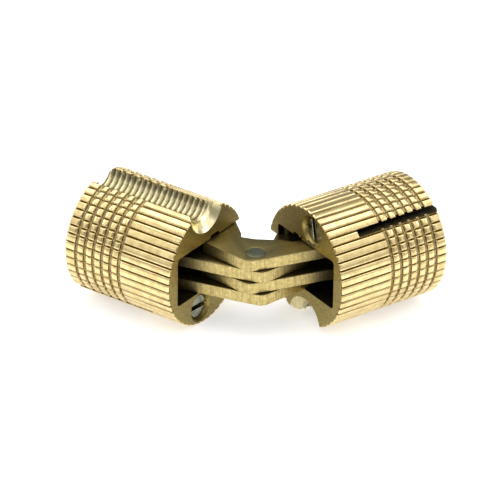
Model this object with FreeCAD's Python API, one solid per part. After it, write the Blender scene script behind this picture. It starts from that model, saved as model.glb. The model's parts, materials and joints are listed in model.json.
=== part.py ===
"""Invisible barrel hinge: two knurled barrels joined by four crossed link plates.

Each barrel has a slot milled in its front face. Two sets of link plates cross on a centre
rivet: one end of a set turns on a pivot pin in one barrel, the other end slides in the
other barrel on a guide pin. The right half is modelled and the left half is the same half
turned over about the hinge's centre line. Millimetres, +Z up, the hinge axis along Z.
"""
import math
import os

import FreeCAD
import Part
from FreeCAD import Vector

# Barrel
BARREL_DIAMETER = 14.0
BARREL_LENGTH = 14.4
TAIL_CHAMFER = 0.45
RIDGE_COUNT = 46
RIDGE_LAND_SHARE = 0.68
KNURL_DEPTH = 0.20

# Ring grooves round the tail half
RING_COUNT = 6
RING_PITCH = 1.15
RING_WIDTH = 0.32
RING_DEPTH = 0.26
RING_TAIL_LAND = 1.7

# Slot in the front face, and the notch in its far wall
SLOT_WIDTH = 10.5
SLOT_BACK_WALL = 1.6
SLOT_CORNER_RADIUS = 0.4
STACK_CLEARANCE = 0.13
NOTCH_DEPTH = 3.0

# Half-round thread along the side, for the fixing screw
THREAD_RADIUS = 2.0
THREAD_PITCH = 0.7
THREAD_DEPTH = 0.24
THREAD_COUNTERSINK_RADIUS = 2.9

# Expander screw and the saw cut that it spreads
SCREW_RADIUS = 1.42
SCREW_LENGTH = 5.0
SCREW_WALL = 0.69
SCREW_SHIFT = 1.0
SCREW_RECESS = 0.35
SCREW_TRAVEL = 1.0
SCREW_TIP_LENGTH = 1.2
SCREW_TIP_RADIUS = 0.7
SCREW_CLEARANCE = 0.04
SCREW_SLOT_WIDTH = 0.5
SCREW_SLOT_DEPTH = 0.8
SCREW_EDGE = 0.15
BORE_SPARE_DEPTH = 0.6
BORE_CHAMFER = 0.28
SAW_CUT_WIDTH = 0.60
SAW_CUT_RISE = 0.25
SAW_CUT_START = 3.5
RIGHT_SCREW_ANGLE = 78.0
LEFT_SCREW_ANGLE = 6.0

# Link plates
PLATE_COUNT = 4
PLATE_THICKNESS = 1.32
PLATE_GAP = 0.10
RIVET_RADIUS = 1.05
PIVOT_PIN_RADIUS = 0.60
GUIDE_PIN_RADIUS = 0.65
PIN_CLEARANCE = 0.05
PIVOT_END_RADIUS = 1.10
GUIDE_END_RADIUS = 1.20

# Link plate's outline about the rivet at rest, as (to the right, away from the elbow)
ELBOW_LEFT = (-1.25, -1.70)
ELBOW_TIP = (-0.60, -1.95)
ELBOW_RIGHT = (1.00, -1.40)
CROTCH_RIGHT = (2.50, 2.85)
CROTCH_LEFT = (-0.10, 2.98)
STEP_FOOT = (-1.60, 3.40)
STEP_TOP = (-1.60, 4.20)
SHOULDER = (-5.75, 2.20)
GUIDE_NECK_REACH = 4.6
GUIDE_NECK_HALF_WIDTH = 1.0

# Linkage: places in the barrel, counted out from its face and towards the near side
OPENING_AT_REST = 70.0
OPENING_LIMIT = 140.0
CLOSED_GAP = 0.4
PIVOT_DEPTH = 1.3
PIVOT_OFFSET = 5.3
RIVET_REACH = 5.6
RIVET_OFFSET = 1.4
GUIDE_ARM = 10.5
GUIDE_ARM_ANGLE = 15.5

# Guide track in the roof and floor of the slot
TRACK_DEPTH = 0.33
TRACK_CLEARANCE = 0.10
TRACK_END_CLEARANCE = 0.06
TRACK_STEPS = 10
TRACK_MOUTH_OFFSET = 1.42

OVERCUT = 1.0

# Worked out from the sizes above
radius = BARREL_DIAMETER / 2
half_rest = math.radians(OPENING_AT_REST / 2)
half_limit = math.radians(OPENING_LIMIT / 2)
plate_pitch = PLATE_THICKNESS + PLATE_GAP
stack_half = (PLATE_COUNT * PLATE_THICKNESS + (PLATE_COUNT - 1) * PLATE_GAP) / 2
slot_half_height = stack_half + STACK_CLEARANCE
slot_half_width = SLOT_WIDTH / 2
slot_depth = BARREL_LENGTH - SLOT_BACK_WALL
track_half_height = slot_half_height + TRACK_DEPTH
notch_top = stack_half - PLATE_THICKNESS - PLATE_GAP / 4
bore_radius = SCREW_RADIUS + SCREW_CLEARANCE
screw_height = radius - SCREW_WALL - bore_radius
saw_cut_height = screw_height + SAW_CUT_RISE

pivot_reach = -PIVOT_DEPTH
pivot_side = -PIVOT_OFFSET
pivot_arm = math.hypot(RIVET_REACH - pivot_reach, -RIVET_OFFSET - pivot_side)
arm_turn_rest = math.atan2(RIVET_REACH - pivot_reach, -RIVET_OFFSET - pivot_side)
arm_turn_closed = math.asin((CLOSED_GAP / 2 - pivot_reach) / pivot_arm)
cross_rest = arm_turn_rest - half_rest
cross_ratio = (cross_rest - arm_turn_closed) / half_rest
cross_limit = cross_rest + cross_ratio * (half_limit - half_rest)
guide_turn_rest = math.radians(GUIDE_ARM_ANGLE)
guide_heading = half_rest - guide_turn_rest
face_x = RIVET_REACH * math.cos(half_rest) + RIVET_OFFSET * math.sin(half_rest)
face_y = RIVET_REACH * math.sin(half_rest) - RIVET_OFFSET * math.cos(half_rest)
pivot_x = pivot_arm * math.sin(cross_rest)
pivot_y = pivot_arm * math.cos(cross_rest)


def linkage(half_opening):
    """Rivet and guide pin in the barrel, as (out from the face, towards the near side)."""
    cross = cross_rest + cross_ratio * (half_opening - half_rest)
    turn = cross + half_opening
    rivet = (pivot_reach + pivot_arm * math.sin(turn), pivot_side + pivot_arm * math.cos(turn))
    guide_turn = guide_turn_rest + (1 - cross_ratio) * (half_opening - half_rest)
    guide = (rivet[0] - GUIDE_ARM * math.cos(guide_turn), rivet[1] + GUIDE_ARM * math.sin(guide_turn))
    return rivet, guide


def axial_cylinder(cylinder_radius, length, start, side, height):
    """A cylinder along the barrel's axis; start is its depth behind the face."""
    return Part.makeCylinder(cylinder_radius, length, Vector(start, side, height), Vector(1, 0, 0))


def upright_cylinder(cylinder_radius, half_height, depth, side):
    """A cylinder along Z, centred on the middle plane."""
    return Part.makeCylinder(cylinder_radius, 2 * half_height, Vector(depth, side, -half_height))


def knurled_section():
    """Straight-knurled outline: round lands and sharp valleys, with a valley at the very top."""
    pitch = 2 * math.pi / RIDGE_COUNT
    half_land = pitch * RIDGE_LAND_SHARE / 2

    def rim(angle, reach):
        return Vector(0, reach * math.cos(angle), reach * math.sin(angle))

    edges = []
    for ridge in range(RIDGE_COUNT):
        middle = math.pi / 2 + (ridge + 0.5) * pitch
        start, crest, end = (rim(middle + turn, radius) for turn in (-half_land, 0, half_land))
        valley = rim(middle + pitch / 2, radius - KNURL_DEPTH)
        following = rim(middle + pitch - half_land, radius)
        edges.append(Part.Arc(start, crest, end).toShape())
        edges.append(Part.LineSegment(end, valley).toShape())
        edges.append(Part.LineSegment(valley, following).toShape())
    return Part.Face(Part.Wire(edges))


def ring_grooves():
    """Square grooves round the tail half that break the ridges into studs."""
    grooves = []
    last = BARREL_LENGTH - RING_TAIL_LAND - RING_WIDTH
    for ring in range(RING_COUNT):
        start = last - ring * RING_PITCH
        outer = axial_cylinder(radius + OVERCUT, RING_WIDTH, start, 0, 0)
        core = axial_cylinder(radius - RING_DEPTH, RING_WIDTH, start, 0, 0)
        grooves.append(outer.cut(core))
    return grooves


def tail_chamfer():
    """The ring that is turned off the tail's edge."""
    start = BARREL_LENGTH - TAIL_CHAMFER
    outer = axial_cylinder(radius + OVERCUT, TAIL_CHAMFER, start, 0, 0)
    cone = Part.makeCone(radius, radius - TAIL_CHAMFER, TAIL_CHAMFER, Vector(start, 0, 0), Vector(1, 0, 0))
    return outer.cut(cone)


def slot():
    """The milled slot that takes the links, with rounded corners."""
    block = Part.makeBox(
        slot_depth + OVERCUT, SLOT_WIDTH, 2 * slot_half_height,
        Vector(-OVERCUT, -slot_half_width, -slot_half_height))
    along = [edge for edge in block.Edges if abs(edge.tangentAt(edge.FirstParameter).x) > 0.5]
    return block.makeFillet(SLOT_CORNER_RADIUS, along)


def far_notch():
    """Opens the slot's far wall for the links that swing out on the pivot pin."""
    return Part.makeBox(
        NOTCH_DEPTH + OVERCUT, radius, notch_top + slot_half_height,
        Vector(-OVERCUT, slot_half_width - OVERCUT, -slot_half_height))


def half_thread():
    """The tapped groove in the barrel's side, a stack of thread turns, and its countersink."""
    countersink_depth = THREAD_COUNTERSINK_RADIUS - THREAD_RADIUS
    crest = THREAD_RADIUS - THREAD_DEPTH
    turns = math.ceil((BARREL_LENGTH + OVERCUT) / THREAD_PITCH)
    profile = [Vector(0, 0, 0)]
    for turn in range(turns):
        profile.append(Vector(turn * THREAD_PITCH, crest, 0))
        profile.append(Vector((turn + 0.5) * THREAD_PITCH, THREAD_RADIUS, 0))
    profile.append(Vector(turns * THREAD_PITCH, crest, 0))
    profile.append(Vector(turns * THREAD_PITCH, 0, 0))
    profile.append(profile[0])
    thread = Part.Face(Part.makePolygon(profile)).revolve(Vector(0, 0, 0), Vector(1, 0, 0), 360)
    thread.translate(Vector(0, 0, -radius))
    mouth = Part.makeCone(
        THREAD_COUNTERSINK_RADIUS + OVERCUT, crest, countersink_depth + THREAD_DEPTH + OVERCUT,
        Vector(-OVERCUT, 0, -radius), Vector(1, 0, 0))
    return [thread, mouth]


def expander_bore():
    """The screw's bore with its chamfer, and the saw cut that lets the lip spread."""
    depth = SCREW_RECESS + SCREW_LENGTH + SCREW_TRAVEL + BORE_SPARE_DEPTH
    bore = axial_cylinder(bore_radius, depth + OVERCUT, -OVERCUT, -SCREW_SHIFT, screw_height)
    chamfer = Part.makeCone(
        bore_radius + BORE_CHAMFER, bore_radius, BORE_CHAMFER,
        Vector(0, -SCREW_SHIFT, screw_height), Vector(1, 0, 0))
    saw_cut = Part.makeBox(
        BARREL_LENGTH - SAW_CUT_START + OVERCUT, 2 * (radius + OVERCUT), SAW_CUT_WIDTH,
        Vector(SAW_CUT_START, -radius - OVERCUT, saw_cut_height - SAW_CUT_WIDTH / 2))
    return [bore, chamfer, saw_cut]


def channel(start, end, half_width, half_height):
    """A straight upright channel from one (depth, side) place to another."""
    run = (end[0] - start[0], end[1] - start[1])
    length = math.hypot(*run)
    heading = math.degrees(math.atan2(run[1], run[0]))
    block = Part.makeBox(length, 2 * half_width, 2 * half_height, Vector(0, -half_width, -half_height))
    block.rotate(Vector(0, 0, 0), Vector(0, 0, 1), heading)
    block.translate(Vector(start[0], start[1], 0))
    return block


def guide_track():
    """The track of the guide pin in the slot's roof and floor, with its way in from the mouth."""
    half_width = GUIDE_PIN_RADIUS + TRACK_CLEARANCE
    places = []
    for step in range(TRACK_STEPS + 1):
        guide = linkage(half_limit * step / TRACK_STEPS)[1]
        places.append((-guide[0], -guide[1]))
    mouth = (-OVERCUT, TRACK_MOUTH_OFFSET)
    cuts = [upright_cylinder(half_width, track_half_height, *place) for place in places]
    for start, end in zip(places, places[1:] + [mouth]):
        cuts.append(channel(start, end, half_width, track_half_height))
    return cuts


def barrel():
    """One barrel along +X from its face, near side at -Y, expander screw at the top."""
    blank = knurled_section().extrude(Vector(BARREL_LENGTH, 0, 0))
    pin_hole = upright_cylinder(PIVOT_PIN_RADIUS, radius + OVERCUT, PIVOT_DEPTH, PIVOT_OFFSET)
    cuts = ring_grooves() + [tail_chamfer(), slot(), far_notch(), pin_hole]
    cuts += half_thread() + expander_bore() + guide_track()
    return blank.cut(cuts)


def expander_screw(slot_angle):
    """A slotted grub screw with a tapered tip, recessed in the barrel's face."""
    body_length = SCREW_LENGTH - SCREW_TIP_LENGTH
    inward = Vector(1, 0, 0)
    body = axial_cylinder(SCREW_RADIUS, body_length - SCREW_EDGE, SCREW_EDGE, 0, 0)
    head_edge = Part.makeCone(SCREW_RADIUS - SCREW_EDGE, SCREW_RADIUS, SCREW_EDGE, Vector(0, 0, 0), inward)
    tip = Part.makeCone(SCREW_RADIUS, SCREW_TIP_RADIUS, SCREW_TIP_LENGTH, Vector(body_length, 0, 0), inward)
    driver_slot = Part.makeBox(
        SCREW_SLOT_DEPTH + OVERCUT, 4 * SCREW_RADIUS, SCREW_SLOT_WIDTH,
        Vector(-OVERCUT, -2 * SCREW_RADIUS, -SCREW_SLOT_WIDTH / 2))
    screw = body.fuse([head_edge, tip]).removeSplitter().cut(driver_slot)
    screw.rotate(Vector(0, 0, 0), inward, slot_angle)
    screw.translate(Vector(SCREW_RECESS, -SCREW_SHIFT, screw_height))
    return screw


def pivot_pin():
    """The pin through the slot's far side, dressed flush with the barrel's round."""
    rod = upright_cylinder(PIVOT_PIN_RADIUS, radius, PIVOT_DEPTH, PIVOT_OFFSET)
    return rod.common(axial_cylinder(radius - RING_DEPTH, BARREL_LENGTH, 0, 0, 0))


def link_plate(level, rivet_hole):
    """One elbowed plate of the set that is pivoted in the left barrel, about the rivet.

    It lies as in the rest pose, seen from above with the near side at -Y.
    """
    pivot = Vector(-pivot_x, pivot_y, 0)
    along = Vector(math.cos(guide_heading), math.sin(guide_heading), 0)
    across = Vector(along.y, -along.x, 0)
    guide = along * GUIDE_ARM
    guide_edge = across * GUIDE_END_RADIUS
    pivot_edge = Vector(PIVOT_END_RADIUS, 0, 0)
    outline = [Vector(*place) for place in (ELBOW_LEFT, ELBOW_TIP, ELBOW_RIGHT)]
    outline += [guide + guide_edge, guide - guide_edge]
    outline.append(along * GUIDE_NECK_REACH - across * GUIDE_NECK_HALF_WIDTH)
    outline += [Vector(*place) for place in (CROTCH_RIGHT, CROTCH_LEFT, STEP_FOOT, STEP_TOP)]
    outline += [pivot + pivot_edge, pivot - pivot_edge, Vector(*SHOULDER)]
    up = Vector(0, 0, PLATE_THICKNESS)
    plate = Part.Face(Part.makePolygon(outline + outline[:1])).extrude(up)
    ends = [
        Part.makeCylinder(PIVOT_END_RADIUS, PLATE_THICKNESS, pivot),
        Part.makeCylinder(GUIDE_END_RADIUS, PLATE_THICKNESS, guide),
    ]
    holes = [
        Part.makeCylinder(rivet_hole, PLATE_THICKNESS, Vector(0, 0, 0)),
        Part.makeCylinder(PIVOT_PIN_RADIUS + PIN_CLEARANCE, PLATE_THICKNESS, pivot),
        Part.makeCylinder(GUIDE_PIN_RADIUS, PLATE_THICKNESS, guide),
    ]
    plate = plate.fuse(ends).removeSplitter().cut(holes)
    plate.translate(Vector(0, 0, stack_half - PLATE_THICKNESS - level * plate_pitch))
    return plate


def guide_pin():
    """The pin across one link set's sliding end, with its ends in the roof and floor tracks."""
    place = (GUIDE_ARM * math.cos(guide_heading), GUIDE_ARM * math.sin(guide_heading))
    return upright_cylinder(GUIDE_PIN_RADIUS, track_half_height - TRACK_END_CLEARANCE, *place)


def placed(shape):
    """Moves a shape of the barrel to the right barrel's place about the rivet, at rest."""
    moved = shape.copy()
    moved.rotate(Vector(0, 0, 0), Vector(0, 0, 1), math.degrees(half_rest))
    moved.translate(Vector(face_x, face_y, 0))
    return moved


def turned_over(shape):
    """The same shape for the left half, turned over about the hinge's centre line."""
    moved = shape.copy()
    moved.rotate(Vector(0, 0, 0), Vector(0, 1, 0), 180)
    return moved


right_barrel = placed(barrel())
right_pin = placed(pivot_pin())
loose_rivet_hole = RIVET_RADIUS + PIN_CLEARANCE
top_plate = link_plate(0, RIVET_RADIUS)
third_plate = link_plate(2, RIVET_RADIUS)
bottom_plate = turned_over(link_plate(0, loose_rivet_hole))
second_plate = turned_over(link_plate(2, loose_rivet_hole))

pieces = {
    "left_barrel": turned_over(right_barrel),
    "right_barrel": right_barrel,
    "left_expander_screw": turned_over(placed(expander_screw(LEFT_SCREW_ANGLE))),
    "right_expander_screw": placed(expander_screw(RIGHT_SCREW_ANGLE)),
    "left_pivot_pin": turned_over(right_pin),
    "right_pivot_pin": right_pin,
    "link_plate_1": top_plate,
    "link_plate_2": second_plate,
    "link_plate_3": third_plate,
    "link_plate_4": bottom_plate,
    "left_guide_pin": turned_over(guide_pin()),
    "right_guide_pin": guide_pin(),
    "centre_rivet": upright_cylinder(RIVET_RADIUS, stack_half, 0, 0),
}

# The origin goes under the middle of the whole hinge, on the surface that the barrels lie on
whole = Part.makeCompound(list(pieces.values())).BoundBox
shift = Vector(-whole.Center.x, -whole.Center.y, -whole.ZMin)
os.makedirs("parts", exist_ok=True)
for name, shape in pieces.items():
    shape.translate(shift)
    shape.exportStep(os.path.join("parts", name + ".step"))
    print(name, "valid" if shape.isValid() else "INVALID", len(shape.Solids), round(shape.Volume, 3))

print("rivet at", shift.x, shift.y, shift.z)
print("pivots at", shift.x - pivot_x, shift.x + pivot_x, shift.y + pivot_y)
print("face centres at", shift.x - face_x, shift.x + face_x, shift.y + face_y)
print("closing", -math.degrees(arm_turn_rest - arm_turn_closed))
print("opening", math.degrees(cross_limit + half_limit - arm_turn_rest))
print("cross ratio", -2 * cross_ratio / (1 + cross_ratio))
print("size", whole.XLength, whole.YLength, whole.ZLength)
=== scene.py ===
"""Looks of an invisible barrel hinge: knurled brass barrels, sawn link plates and steel screws."""
import json
import math

import bpy
from mathutils import Matrix, Quaternion, Vector

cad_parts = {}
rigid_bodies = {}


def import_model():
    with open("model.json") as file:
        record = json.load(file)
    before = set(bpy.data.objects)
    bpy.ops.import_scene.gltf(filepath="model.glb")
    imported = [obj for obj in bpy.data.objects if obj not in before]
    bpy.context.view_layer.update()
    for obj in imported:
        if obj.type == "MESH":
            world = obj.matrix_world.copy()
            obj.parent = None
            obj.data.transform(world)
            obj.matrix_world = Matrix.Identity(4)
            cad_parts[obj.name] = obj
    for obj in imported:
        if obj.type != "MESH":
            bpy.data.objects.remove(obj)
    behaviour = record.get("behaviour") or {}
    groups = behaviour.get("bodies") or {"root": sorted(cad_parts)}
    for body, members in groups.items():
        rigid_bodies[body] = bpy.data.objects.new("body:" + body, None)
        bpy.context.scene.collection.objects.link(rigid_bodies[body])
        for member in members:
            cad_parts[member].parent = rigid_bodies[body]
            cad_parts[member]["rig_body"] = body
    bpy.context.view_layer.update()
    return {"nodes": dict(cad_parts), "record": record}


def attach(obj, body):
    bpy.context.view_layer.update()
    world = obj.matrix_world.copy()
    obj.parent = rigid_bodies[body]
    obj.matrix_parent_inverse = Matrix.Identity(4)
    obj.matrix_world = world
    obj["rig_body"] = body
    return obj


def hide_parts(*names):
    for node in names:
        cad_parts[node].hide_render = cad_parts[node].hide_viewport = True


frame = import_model()

# Barrels: brass bar turned to size, rolled with straight ridges and cut with rings over the tail
# half, then milled, drilled and tapped from the face. The rolled skin is modelled as rounded ridges
# and studs, and the slots, bores and threads are cut from it as the solid behind it has them.
MM = 0.001
seat = next(mount for mount in frame["record"]["mounts"] if mount["name"] == "right_barrel_seat")
face_centre = Vector(seat["pos_m"])
barrel_axis = Vector(seat["axis"])
barrel_radius = seat["dims"]["r_mm"]
barrel_turn = math.atan2(barrel_axis.y, barrel_axis.x)
barrel_place = (Matrix.Translation(face_centre) @ Matrix.Rotation(barrel_turn, 4, "Z")
                @ Matrix.Scale(MM, 4))
barrel_from_row = barrel_place.inverted()
right_solid = frame["nodes"]["right_barrel"]
barrel_length = max((barrel_from_row @ corner.co).x for corner in right_solid.data.vertices)

# Sizes are in millimetres. A ridge's profile is (share of the pitch from the ridge's middle, drop),
# and a ring's is (distance from the ring's middle, drop).
RIDGE_COUNT = 46
SKIN_INSET = 0.015
skin_radius = barrel_radius - SKIN_INSET
RIDGE_PROFILE = [
    (0.0, 0.0), (0.2, 0.002), (0.31, 0.009), (0.345, 0.03), (0.4, 0.1), (0.45, 0.165), (0.5, 0.225)]
RING_COUNT = 6
RING_PITCH = 1.15
LAST_RING = 1.86
RING_PROFILE = [(0.0, 0.285), (0.1, 0.28), (0.17, 0.27), (0.2, 0.13), (0.24, 0.05), (0.31, 0.012)]
FACE_EDGE = 0.10
TAIL_CHAMFER = 0.55
TAIL_SLOPE = 1.1
END_SPARE = 0.5
MERGE_DISTANCE = 0.0005


def deselect_all():
    """Leaves nothing selected and no object active."""
    bpy.ops.object.select_all(action="DESELECT")
    bpy.context.view_layer.objects.active = None


def make_active(piece):
    """Selects one piece alone."""
    deselect_all()
    piece.select_set(True)
    bpy.context.view_layer.objects.active = piece


def merged_copy(node, name):
    """A selected copy of a solid with its loose triangles merged and no material."""
    copy = bpy.data.objects.new(name, frame["nodes"][node].data.copy())
    bpy.context.scene.collection.objects.link(copy)
    make_active(copy)
    bpy.ops.object.mode_set(mode="EDIT")
    bpy.ops.mesh.select_all(action="SELECT")
    bpy.ops.mesh.remove_doubles(threshold=MERGE_DISTANCE * MM)
    bpy.ops.object.mode_set(mode="OBJECT")
    copy.data.materials.clear()
    return copy


def apply_modifiers(piece):
    """Applies every modifier of a piece in order."""
    make_active(piece)
    for modifier in list(piece.modifiers):
        bpy.ops.object.modifier_apply(modifier=modifier.name)


def profile_drop(profile, place):
    """How far a profile drops below the skin at a place along it, and nothing past its end."""
    for (near, near_drop), (far, far_drop) in zip(profile, profile[1:]):
        if place <= far:
            return near_drop + (far_drop - near_drop) * (place - near) / (far - near)
    return 0.0


ring_places = [barrel_length - LAST_RING - ring * RING_PITCH for ring in range(RING_COUNT)]


def ring_drop(along):
    """How far the rings drop below the skin at a distance from the face."""
    return max(profile_drop(RING_PROFILE, abs(along - ring)) for ring in ring_places)


def end_drop(along):
    """How far the broken edge at the face and the chamfer at the tail drop below the skin."""
    edge_drop = FACE_EDGE * min(1, max(0, 1 - along / FACE_EDGE))
    return edge_drop + TAIL_SLOPE * max(0, along - barrel_length + TAIL_CHAMFER)


def rolled_skin():
    """The whole rolled cylinder, a little longer than the barrel, in the barrel's millimetres."""
    steps = [-place for place, drop in RIDGE_PROFILE[-2:0:-1]]
    steps += [place for place, drop in RIDGE_PROFILE]
    around = RIDGE_COUNT * len(steps)
    depth = barrel_length + 2 * END_SPARE
    deselect_all()
    bpy.ops.mesh.primitive_cylinder_add(
        vertices=around, radius=barrel_radius, depth=depth, end_fill_type="NGON",
        location=(barrel_length / 2, 0, 0), rotation=(0, math.pi / 2, 0))
    skin = bpy.context.object
    bpy.ops.object.transform_apply(location=True, rotation=True)
    cuts = [0.0, FACE_EDGE / 2, FACE_EDGE, barrel_length - TAIL_CHAMFER, barrel_length]
    for ring in ring_places:
        cuts += [ring + side * place for place, drop in RING_PROFILE for side in (-1, 1)]
        cuts.append(ring + RING_PITCH / 2)
    bpy.ops.object.mode_set(mode="EDIT")
    for cut in sorted(set(cuts)):
        bpy.ops.mesh.select_all(action="SELECT")
        bpy.ops.mesh.bisect(plane_co=(cut, 0, 0), plane_no=(1, 0, 0))
    bpy.ops.object.mode_set(mode="OBJECT")
    pitch = 2 * math.pi / RIDGE_COUNT
    for corner in skin.data.vertices:
        index = round(math.atan2(corner.co.z, corner.co.y) / (2 * math.pi) * around) % around
        ridge, step = divmod(index, len(steps))
        place = steps[step]
        ridge_drop = profile_drop(RIDGE_PROFILE, abs(place))
        drop = math.hypot(ridge_drop, ring_drop(corner.co.x)) + end_drop(corner.co.x)
        reach = skin_radius - drop
        angle = math.pi / 2 + (ridge + 0.5 + place) * pitch
        corner.co.y = reach * math.cos(angle)
        corner.co.z = reach * math.sin(angle)
    return skin


GROOVE_SHADE_MARK = "groove_shade"
LINE_DETAIL = 3
LATHE_WANDER = 1.5
PATCH_DETAIL = 5
DARK_TONE = 0.36
BRIGHT_TONE = 0.62
ROUGH_TONE = 0.3
SMOOTH_TONE = 0.7
LINE_RELIEF = 0.02


def drawn_metal(name, dark, bright, rough, smooth, grain, bump,
                turn=0.0, blotch=0.8, painted_shade=None, centre=None):
    """A metal with fine drawn lines and a tone that wanders from dark and rough to bright and smooth.

    grain is the length of a line along each axis, turned about Z, and blotch the size of a patch,
    all in millimetres. The groove colour given is painted shade, laid into the bottoms of the grooves
    by the groove-shade mark. With a centre, the lines are lathe marks round the turned X axis
    through it.
    """
    material = bpy.data.materials.new(name)
    material.use_nodes = True
    nodes, links = material.node_tree.nodes, material.node_tree.links
    shader = nodes["Principled BSDF"]
    shader.inputs["Metallic"].default_value = 1.0
    place = nodes.new("ShaderNodeTexCoord")
    stretch = nodes.new("ShaderNodeMapping")
    stretch.vector_type = "TEXTURE"
    stretch.inputs["Rotation"].default_value = (0, 0, turn)
    stretch.inputs["Scale"].default_value = [length * MM for length in grain]
    links.new(place.outputs["Object"], stretch.inputs["Vector"])
    if centre is not None:
        stretch.inputs["Location"].default_value = centre
        lines = nodes.new("ShaderNodeTexWave")
        lines.wave_type = "RINGS"
        lines.rings_direction = "X"
        lines.inputs["Distortion"].default_value = LATHE_WANDER
    else:
        lines = nodes.new("ShaderNodeTexNoise")
    lines.inputs["Scale"].default_value = 1.0
    lines.inputs["Detail"].default_value = LINE_DETAIL
    links.new(stretch.outputs["Vector"], lines.inputs["Vector"])
    patches = nodes.new("ShaderNodeTexNoise")
    patches.inputs["Scale"].default_value = 1 / (blotch * MM)
    patches.inputs["Detail"].default_value = PATCH_DETAIL
    links.new(place.outputs["Object"], patches.inputs["Vector"])
    tone = nodes.new("ShaderNodeMix")
    links.new(lines.outputs["Fac"], tone.inputs["A"])
    links.new(patches.outputs["Fac"], tone.inputs["B"])
    colours = nodes.new("ShaderNodeValToRGB")
    first, last = colours.color_ramp.elements
    first.position, first.color = DARK_TONE, (*dark, 1)
    last.position, last.color = BRIGHT_TONE, (*bright, 1)
    links.new(tone.outputs["Result"], colours.inputs["Fac"])
    # Painted shade: the groove-shade mark darkens the colour towards the groove colour in the bottoms
    # of the grooves.
    if painted_shade:
        shade_marks = nodes.new("ShaderNodeAttribute")
        shade_marks.attribute_name = GROOVE_SHADE_MARK
        groove_shading = nodes.new("ShaderNodeMixRGB")
        groove_shading.inputs["Color2"].default_value = (*painted_shade, 1)
        links.new(shade_marks.outputs["Fac"], groove_shading.inputs["Fac"])
        links.new(colours.outputs["Color"], groove_shading.inputs["Color1"])
        links.new(groove_shading.outputs["Color"], shader.inputs["Base Color"])
    else:
        links.new(colours.outputs["Color"], shader.inputs["Base Color"])
    gloss = nodes.new("ShaderNodeMapRange")
    gloss.inputs["From Min"].default_value = ROUGH_TONE
    gloss.inputs["From Max"].default_value = SMOOTH_TONE
    gloss.inputs["To Min"].default_value = rough
    gloss.inputs["To Max"].default_value = smooth
    links.new(tone.outputs["Result"], gloss.inputs["Value"])
    links.new(gloss.outputs["Result"], shader.inputs["Roughness"])
    relief = nodes.new("ShaderNodeBump")
    relief.inputs["Strength"].default_value = bump
    relief.inputs["Distance"].default_value = LINE_RELIEF * MM
    links.new(lines.outputs["Fac"], relief.inputs["Height"])
    links.new(relief.outputs["Normal"], shader.inputs["Normal"])
    return material


ROLLED, SHADED_CUT, LIT_TAPPED, SLOT_SHADOW, TURNED = range(5)


def barrel_finishes(side, turn, centre):
    """A barrel's brass finishes in their order as slots, with the grain set by its axis.

    The cut faces' brass is a darker copy painted in shade, the slots' a nearly black painted shadow,
    and the tapped brass a lighter copy painted in light.
    """
    return [
        # The rolled brass has painted shade in the bottoms of its grooves.
        drawn_metal(
            side + "_rolled_brass", (0.58, 0.43, 0.175), (0.86, 0.70, 0.365), 0.34, 0.2,
            grain=(3, 0.06, 0.06), bump=0.25, turn=turn, painted_shade=(0.07, 0.05, 0.015)),
        # Painted shade: the brass of the cut faces is a darker copy of the rolled brass.
        drawn_metal(
            side + "_shaded_cut_brass", (0.23, 0.175, 0.054), (0.37, 0.29, 0.095), 0.48, 0.34,
            grain=(0.06, 0.5, 0.06), bump=0.3, turn=turn, blotch=0.35),
        # Painted light: the tapped bore's brass is a lighter copy of the rolled brass.
        drawn_metal(
            side + "_lit_tapped_brass", (0.70, 0.59, 0.31), (0.88, 0.80, 0.50), 0.34, 0.22,
            grain=(0.05, 0.3, 0.3), bump=0.2, turn=turn, painted_shade=(0.05, 0.04, 0.012)),
        # Painted shadow: the slots and the saw cut get a nearly black copy of the brass.
        drawn_metal(
            side + "_slot_shadow_brass", (0.03, 0.025, 0.012), (0.07, 0.058, 0.03), 0.6, 0.42,
            grain=(0.3, 0.06, 0.06), bump=0.3, turn=turn),
        drawn_metal(
            side + "_turned_brass", (0.44, 0.34, 0.13), (0.56, 0.445, 0.18), 0.42, 0.3,
            grain=(0.42, 0.42, 0.42), bump=0.2, turn=turn, blotch=0.35, centre=centre)]


TAPPED_REACH = 3.1
SLOT_HALF_WIDTH = 5.3
SLOT_HALF_HEIGHT = 3.3
SLOT_LIP = 0.02
SAW_CUT_HEIGHT = 5.1
SAW_CUT_REACH = 0.4
SAW_CUT_FOOT = 3.4
GROOVE_DEPTH = 0.22
# Painted shade in the grooves: how it grows with depth, and how strong it is in the ridges, the rings
# and on the thread's crests.
SHADE_CURVE = 1.4
RIDGE_SHADE = 1.0
RING_SHADE = 0.65
THREAD_CREST = 1.76
THREAD_DEPTH = 0.24
THREAD_MOUTH = 1.2
CREST_SHADE = 0.3
RIDGE_SMOOTHING = math.radians(30)
FLAT_FACING = 0.9999


def cut_finish(place):
    """Which finish a cut face has: turned at the tail, tapped with painted light, painted slot shadow
    in the slots and the saw cut, else the cut brass painted in shade.
    """
    if place.x > barrel_length - SLOT_LIP:
        return TURNED
    if math.hypot(place.y, place.z + barrel_radius) < TAPPED_REACH and place.x > SLOT_LIP:
        return LIT_TAPPED
    # Painted shadow: the faces inside the slots and the saw cut take the nearly black brass.
    if abs(place.y) < SLOT_HALF_WIDTH and abs(place.z) < SLOT_HALF_HEIGHT and place.x > SLOT_LIP:
        return SLOT_SHADOW
    if abs(place.z - SAW_CUT_HEIGHT) < SAW_CUT_REACH and place.x > SAW_CUT_FOOT:
        return SLOT_SHADOW
    return SHADED_CUT


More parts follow.
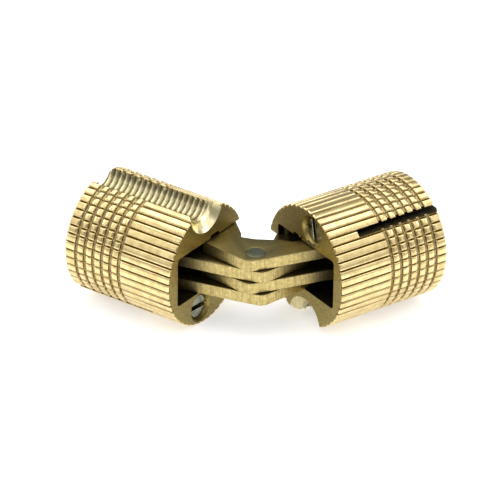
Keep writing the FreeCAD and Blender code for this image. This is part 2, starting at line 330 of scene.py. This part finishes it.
def groove_shade(place, finish):
    """How much shade is painted on a point by its depth in the rolled grooves or the thread, 0 on top
    to 1 at the root.
    """
    if finish == ROLLED:
        depth = skin_radius - math.hypot(place.y, place.z) - end_drop(place.x)
        shaded_share = min(1, max(0, depth / GROOVE_DEPTH)) ** SHADE_CURVE
        return shaded_share * (RING_SHADE if ring_drop(place.x) > 0 else RIDGE_SHADE)
    if finish == LIT_TAPPED and place.x > THREAD_MOUTH:
        depth = (math.hypot(place.y, place.z + barrel_radius) - THREAD_CREST) / THREAD_DEPTH
        return min(1, max(CREST_SHADE, depth))
    return 0.0


skin = rolled_skin()
cut_form = merged_copy("right_barrel", "barrel_cuts")
cut_form.data.transform(barrel_from_row)
right_finishes = barrel_finishes("right", barrel_turn, face_centre)
for piece in (skin, cut_form):
    for finish in right_finishes:
        piece.data.materials.append(finish)
for face in cut_form.data.polygons:
    face.material_index = cut_finish(face.center)
cut = skin.modifiers.new("cuts", "BOOLEAN")
cut.operation = "INTERSECT"
cut.solver = "EXACT"
cut.object = cut_form
apply_modifiers(skin)
bpy.data.objects.remove(cut_form)
make_active(skin)
bpy.ops.object.shade_smooth_by_angle(angle=RIDGE_SMOOTHING)
for face in skin.data.polygons:
    if face.material_index != ROLLED and max(abs(side) for side in face.normal) > FLAT_FACING:
        face.use_smooth = False
# Painted shade: each corner is marked with how much shade is painted on it in the grooves and the
# thread.
shade_marks = skin.data.attributes.new(GROOVE_SHADE_MARK, "FLOAT", "CORNER")
for face in skin.data.polygons:
    for loop in face.loop_indices:
        place = skin.data.vertices[skin.data.loops[loop].vertex_index].co
        shade_marks.data[loop].value = groove_shade(place, face.material_index)
skin.data.transform(barrel_place)

turn_over = (Matrix.Translation((0, 0, face_centre.z)) @ Matrix.Rotation(math.pi, 4, "Y")
             @ Matrix.Translation((0, 0, -face_centre.z)))
left_skin = bpy.data.objects.new("left_rolled_barrel", skin.data.copy())
bpy.context.scene.collection.objects.link(left_skin)
left_skin.data.transform(turn_over)
for index, finish in enumerate(barrel_finishes("left", -barrel_turn, turn_over @ face_centre)):
    left_skin.data.materials[index] = finish
skin.name = "right_rolled_barrel"
for piece, side in ((left_skin, "left"), (skin, "right")):
    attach(piece, side + "_half")
    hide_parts(side + "_barrel")

# Link plates: four elbowed plates sawn from brass strip, so their edges show upright saw marks.
# Their flats are painted in shade, much darker than their edges. They turn on the pivot pins and
# cross on the rivet in two sets.
LINK_COUNT = 4
LINK_EDGE = 0.07
# Painted shade: the flats' brass is a much darker copy of the edges' brass, chosen by which way a
# face turns.
link_flat_shaded_brass = drawn_metal(
    "link_flat_shaded_brass", (0.155, 0.125, 0.045), (0.22, 0.18, 0.068), 0.48, 0.36,
    grain=(1.5, 0.05, 0.05), bump=0.2, blotch=0.3)
link_edge_brass = drawn_metal(
    "link_edge_brass", (0.33, 0.26, 0.095), (0.60, 0.48, 0.205), 0.5, 0.32,
    grain=(0.10, 0.10, 4), bump=0.6, blotch=0.3)
JOIN_ANGLE = math.radians(1)
ROUNDED_ANGLE = math.radians(40)
ROUNDED_STEPS = 3
ROUNDED_SMOOTHING = math.radians(38)
UPRIGHT_FACING = 0.5


def softened(node, name, edge, *finishes):
    """A copy of a solid with its sharp edges rounded a little, in place of that solid.

    With two finishes, the last goes on the upright faces.
    """
    piece = merged_copy(node, name)
    bpy.ops.object.mode_set(mode="EDIT")
    bpy.ops.mesh.select_all(action="SELECT")
    bpy.ops.mesh.dissolve_limited(angle_limit=JOIN_ANGLE)
    bpy.ops.object.mode_set(mode="OBJECT")
    rounding = piece.modifiers.new("edges", "BEVEL")
    rounding.width = edge * MM
    rounding.segments = ROUNDED_STEPS
    rounding.limit_method = "ANGLE"
    rounding.angle_limit = ROUNDED_ANGLE
    apply_modifiers(piece)
    bpy.ops.object.shade_smooth_by_angle(angle=ROUNDED_SMOOTHING)
    for finish in finishes:
        piece.data.materials.append(finish)
    # On the links, the flat faces take the first finish, the brass painted in shade.
    for face in piece.data.polygons:
        upright = abs(face.normal.z) < UPRIGHT_FACING
        face.material_index = len(finishes) - 1 if upright else 0
    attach(piece, frame["nodes"][node]["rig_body"])
    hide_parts(node)
    return piece


for number in range(1, LINK_COUNT + 1):
    plate = softened(
        f"link_plate_{number}", f"sawn_link_{number}", LINK_EDGE, link_flat_shaded_brass, link_edge_brass)

# Expander screws: slotted screws of bright steel, one in a bore in each barrel's face. Driven in,
# they spread the lip above the saw cut and lock the barrel in its hole.
SCREW_EDGE = 0.05
screw_steel = drawn_metal(
    "screw_steel", (0.12, 0.122, 0.09), (0.42, 0.43, 0.36), 0.24, 0.1,
    grain=(0.1, 0.1, 0.1), bump=0.15)
for side in ("left", "right"):
    screw = softened(f"{side}_expander_screw", f"{side}_slotted_screw", SCREW_EDGE, screw_steel)

# Pins and rivet: steel rod cut to length, with dull ends. The pivot pins are pressed through the
# barrels and dressed flush, the guide pins are pressed in the links' sliding ends, and the rivet
# holds the two link sets together.
PIN_EDGE = 0.05
PIN_NODES = ("left_pivot_pin", "right_pivot_pin", "left_guide_pin", "right_guide_pin", "centre_rivet")
pin_steel = drawn_metal(
    "pin_steel", (0.10, 0.11, 0.06), (0.24, 0.255, 0.17), 0.45, 0.25,
    grain=(0.2, 0.2, 0.2), bump=0.3)
for node in PIN_NODES:
    pin = softened(node, node + "_ground", PIN_EDGE, pin_steel)

# Floor: a sheet of white studio paper that the barrels lie on. It is lifted a little towards white
# for the camera and in reflections, and keeps the hinge's shadow.
FLOOR_SIZE = 3.0
PAPER_WHITE = (0.93, 0.93, 0.93, 1)
PAPER_ROUGHNESS = 0.9
PAPER_LIFT = 0.5
deselect_all()
bpy.ops.mesh.primitive_plane_add(size=FLOOR_SIZE)
floor = bpy.context.object
floor.name = "studio_floor"
paper = bpy.data.materials.new("studio_paper")
paper.use_nodes = True
paper_shader = paper.node_tree.nodes["Principled BSDF"]
paper_shader.inputs["Base Color"].default_value = PAPER_WHITE
paper_shader.inputs["Roughness"].default_value = PAPER_ROUGHNESS
paper_nodes, paper_links = paper.node_tree.nodes, paper.node_tree.links
rays = paper_nodes.new("ShaderNodeLightPath")
seen_rays = paper_nodes.new("ShaderNodeMath")
seen_rays.operation = "MAXIMUM"
paper_links.new(rays.outputs["Is Camera Ray"], seen_rays.inputs[0])
paper_links.new(rays.outputs["Is Glossy Ray"], seen_rays.inputs[1])
lift = paper_nodes.new("ShaderNodeMath")
lift.operation = "MULTIPLY"
lift.inputs[1].default_value = PAPER_LIFT
paper_links.new(seen_rays.outputs[0], lift.inputs[0])
paper_shader.inputs["Emission Color"].default_value = (1, 1, 1, 1)
paper_links.new(lift.outputs[0], paper_shader.inputs["Emission Strength"])
floor.data.materials.append(paper)

# Light: a grey room, with a large soft box overhead, one in front, and two at each side that fill
# the barrels' rounds and the mouth of the thread. Places are in metres and powers in watts.
ROOM_GREY = (0.34, 0.34, 0.34, 1)
world = bpy.data.worlds.new("studio_room")
bpy.context.scene.world = world
world.use_nodes = True
world.node_tree.nodes["Background"].inputs["Color"].default_value = ROOM_GREY
world.node_tree.nodes["Background"].inputs["Strength"].default_value = 1.0
hinge_middle = Vector((0, 0, face_centre.z))


def soft_box(name, place, width, height, power):
    """A soft rectangular lamp that faces the hinge's middle."""
    lamp = bpy.data.lights.new(name, "AREA")
    lamp.shape = "RECTANGLE"
    lamp.size = width
    lamp.size_y = height
    lamp.energy = power
    holder = bpy.data.objects.new(name, lamp)
    bpy.context.scene.collection.objects.link(holder)
    holder.location = place
    holder.rotation_euler = (hinge_middle - Vector(place)).to_track_quat("-Z", "Y").to_euler()


soft_box("top_box", place=(0, 0.08, 0.36), width=0.50, height=0.30, power=1.08)
soft_box("front_box", place=(0, -0.20, 0.36), width=0.60, height=0.22, power=0.5)
for side, toward in (("left", -1), ("right", 1)):
    soft_box(
        side + "_back_box", place=(0.34 * toward, 0.10, 0.21), width=0.14, height=0.20, power=0.35)
    soft_box(
        side + "_front_box", place=(0.32 * toward, -0.11, 0.20), width=0.22, height=0.28, power=0.17)

# Camera: a long lens in front of the links' elbow that looks down at the hinge, a little to one side
# of the middle of the barrels' faces.
VIEW_ELEVATION = math.radians(29.5)
VIEW_ROLL = math.radians(0.8)
VIEW_WIDTH = 54.29 * MM
VIEW_OFFSET = Vector((-0.651, 0.815, 1.441)) * MM
VIEW_LENS = 400.0
eye = bpy.data.cameras.new("view")
eye.lens = VIEW_LENS
view_distance = VIEW_WIDTH / 2 * VIEW_LENS / (eye.sensor_width / 2)
view_back = Vector((0, -math.cos(VIEW_ELEVATION), math.sin(VIEW_ELEVATION)))
camera = bpy.data.objects.new("view", eye)
bpy.context.scene.collection.objects.link(camera)
view_aim = Vector((0, face_centre.y, face_centre.z)) + VIEW_OFFSET
camera.location = view_aim + view_back * view_distance
view_turn = (-view_back).to_track_quat("-Z", "Y") @ Quaternion((0, 0, 1), VIEW_ROLL)
camera.rotation_euler = view_turn.to_euler()
bpy.context.scene.camera = camera
bpy.context.scene.view_settings.view_transform = "Standard"
